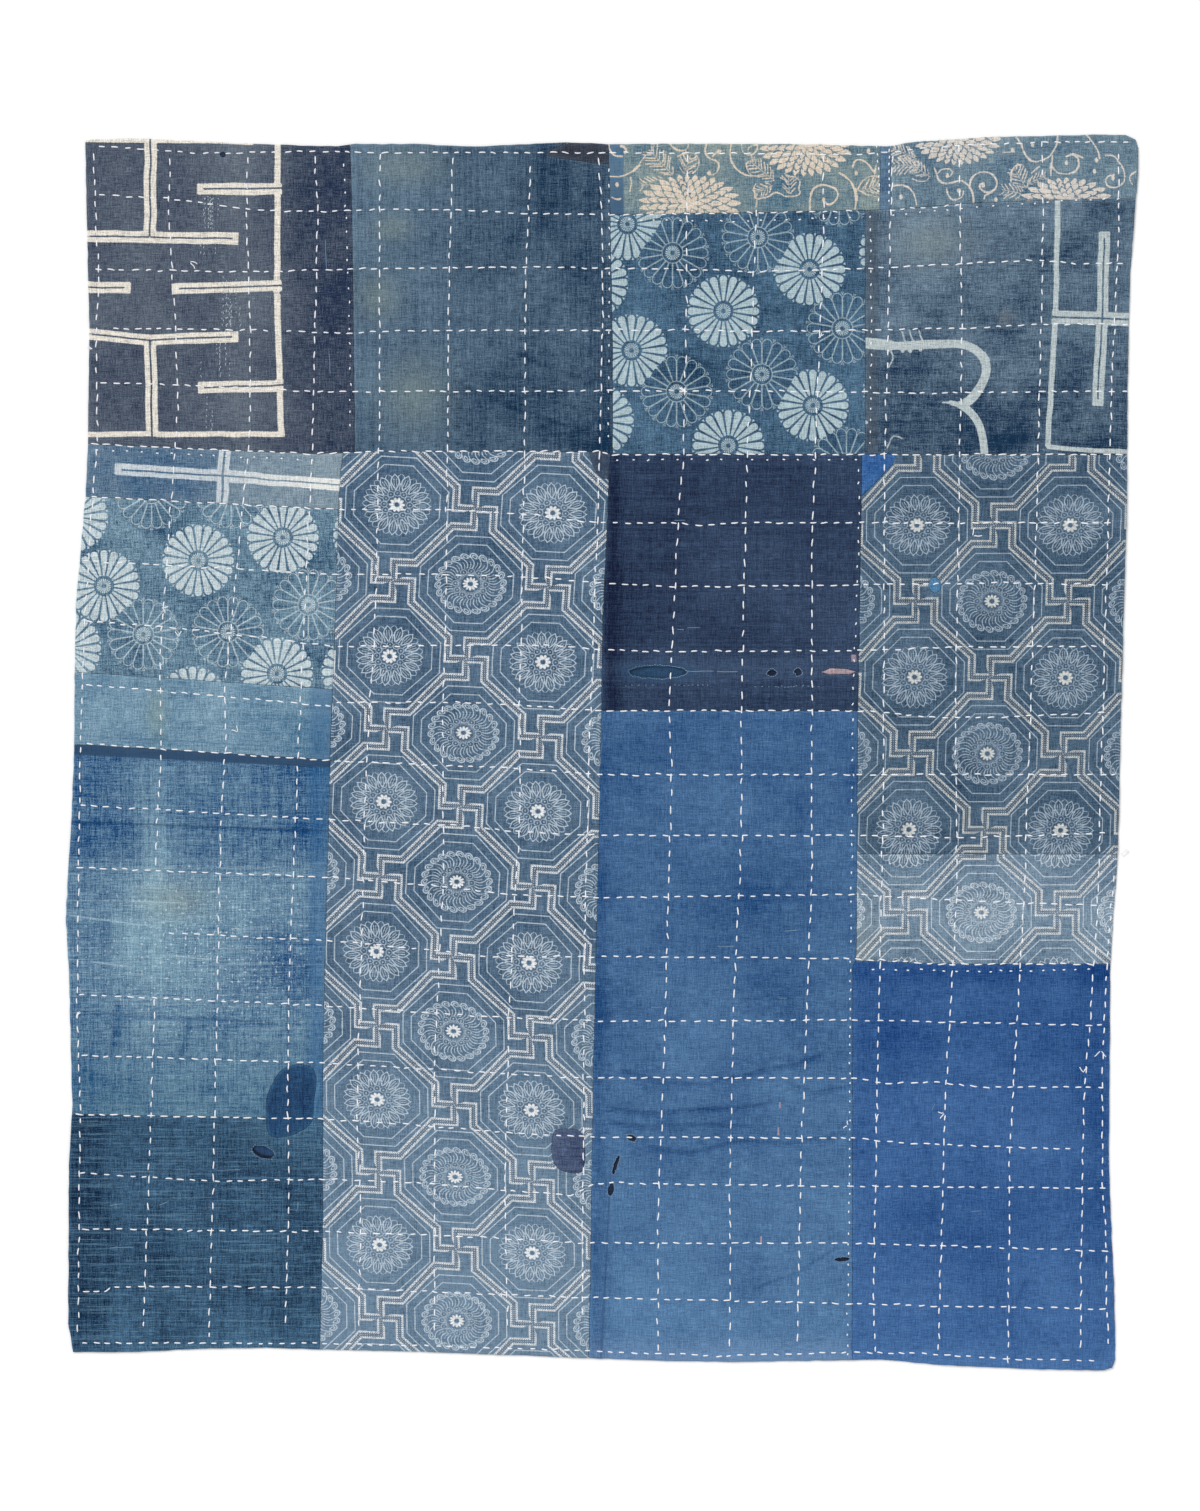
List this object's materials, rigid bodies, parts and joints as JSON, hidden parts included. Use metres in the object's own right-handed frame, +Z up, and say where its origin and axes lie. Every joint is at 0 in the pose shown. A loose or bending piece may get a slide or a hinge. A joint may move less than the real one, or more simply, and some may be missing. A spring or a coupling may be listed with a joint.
{
  "type": "boro textile",
  "caption": "Flat patched and quilted indigo cotton textile, its worn cloths pieced edge to edge on a backing cloth and held by rows of long white running stitches.",
  "frame": {"origin": "middle of the underside, on the surface that the cloth lies on", "axes": "+X to the right and +Y to the upper band of cloths seen from above, +Z up out of the face"},
  "size_m": [1.3077, 1.5067, 0.0042],
  "materials": {
    "plain_indigo_cotton": "plain-woven indigo cotton, matt",
    "navy_fret_cotton": "navy cotton with drawn cream resist lines, worn pale along the warp, matt",
    "faded_blue_cotton": "plain-woven indigo cotton, soft and matt from wear",
    "vine_stencil_cotton": "paste-resist stencilled cotton, cream scrolls on teal blue, matt",
    "narrow_blue_cotton": "plain-woven indigo cotton, soft and matt from wear",
    "flower_stencil_cotton": "paste-resist stencilled cotton, pale chrysanthemums on blue, matt",
    "blue_fret_cotton": "blue cotton with drawn cream resist lines and one brushed scroll, matt",
    "cross_bar_cotton": "blue cotton with a drawn cream cross bar, matt",
    "faded_flower_cotton": "the same stencilled cotton, faded by washing, matt",
    "pale_blue_cotton": "plain-woven indigo cotton, soft and matt from wear",
    "streaked_blue_cotton": "light indigo cotton with pale level streaks, matt",
    "slub_blue_cotton": "greenish indigo cotton with pale slub lines, matt",
    "lattice_stencil_cotton": "paste-resist stencilled cotton, fine pale octagon lattice on grey blue, matt",
    "deep_navy_cotton": "plain-woven indigo cotton, soft and matt from wear",
    "mid_blue_cotton": "plain-woven indigo cotton, soft and matt from wear",
    "faded_lattice_cotton": "the same lattice cotton, faded by washing, matt",
    "bright_blue_cotton": "plain-woven indigo cotton, soft and matt from wear",
    "mend_navy_cotton": "plain-woven indigo cotton, soft and matt from wear",
    "mend_blue_cotton": "plain-woven indigo cotton, soft and matt from wear",
    "mend_rose_cotton": "plain-woven indigo cotton, soft and matt from wear",
    "sashiko_thread": "soft unbleached cotton quilting thread"
  },
  "bodies": {
    "root": {"backing_cloth": "plain_indigo_cotton", "cloth_navy_fret": "navy_fret_cotton", "cloth_faded_blue": "faded_blue_cotton", "strip_vines_left": "vine_stencil_cotton", "strip_narrow_blue": "narrow_blue_cotton", "strip_vines_right": "vine_stencil_cotton", "cloth_flowers_upper": "flower_stencil_cotton", "cloth_blue_fret": "blue_fret_cotton", "cloth_cross_bar": "cross_bar_cotton", "cloth_flowers_left": "faded_flower_cotton", "cloth_pale_band": "pale_blue_cotton", "cloth_streaked": "streaked_blue_cotton", "cloth_slub_blue": "slub_blue_cotton", "cloth_lattice_left": "lattice_stencil_cotton", "cloth_deep_navy": "deep_navy_cotton", "cloth_mid_blue": "mid_blue_cotton", "cloth_lattice_right": "lattice_stencil_cotton", "cloth_lattice_low": "faded_lattice_cotton", "cloth_bright_blue": "bright_blue_cotton", "mend_top_navy": "mend_navy_cotton", "mend_corner_navy": "mend_navy_cotton", "mend_bright_corner": "bright_blue_cotton", "mend_small_blue": "mend_blue_cotton", "mend_navy_square": "mend_navy_cotton", "mend_arch_blue": "mend_blue_cotton", "mend_rose_sliver": "mend_rose_cotton"}
  },
  "joints": []
}
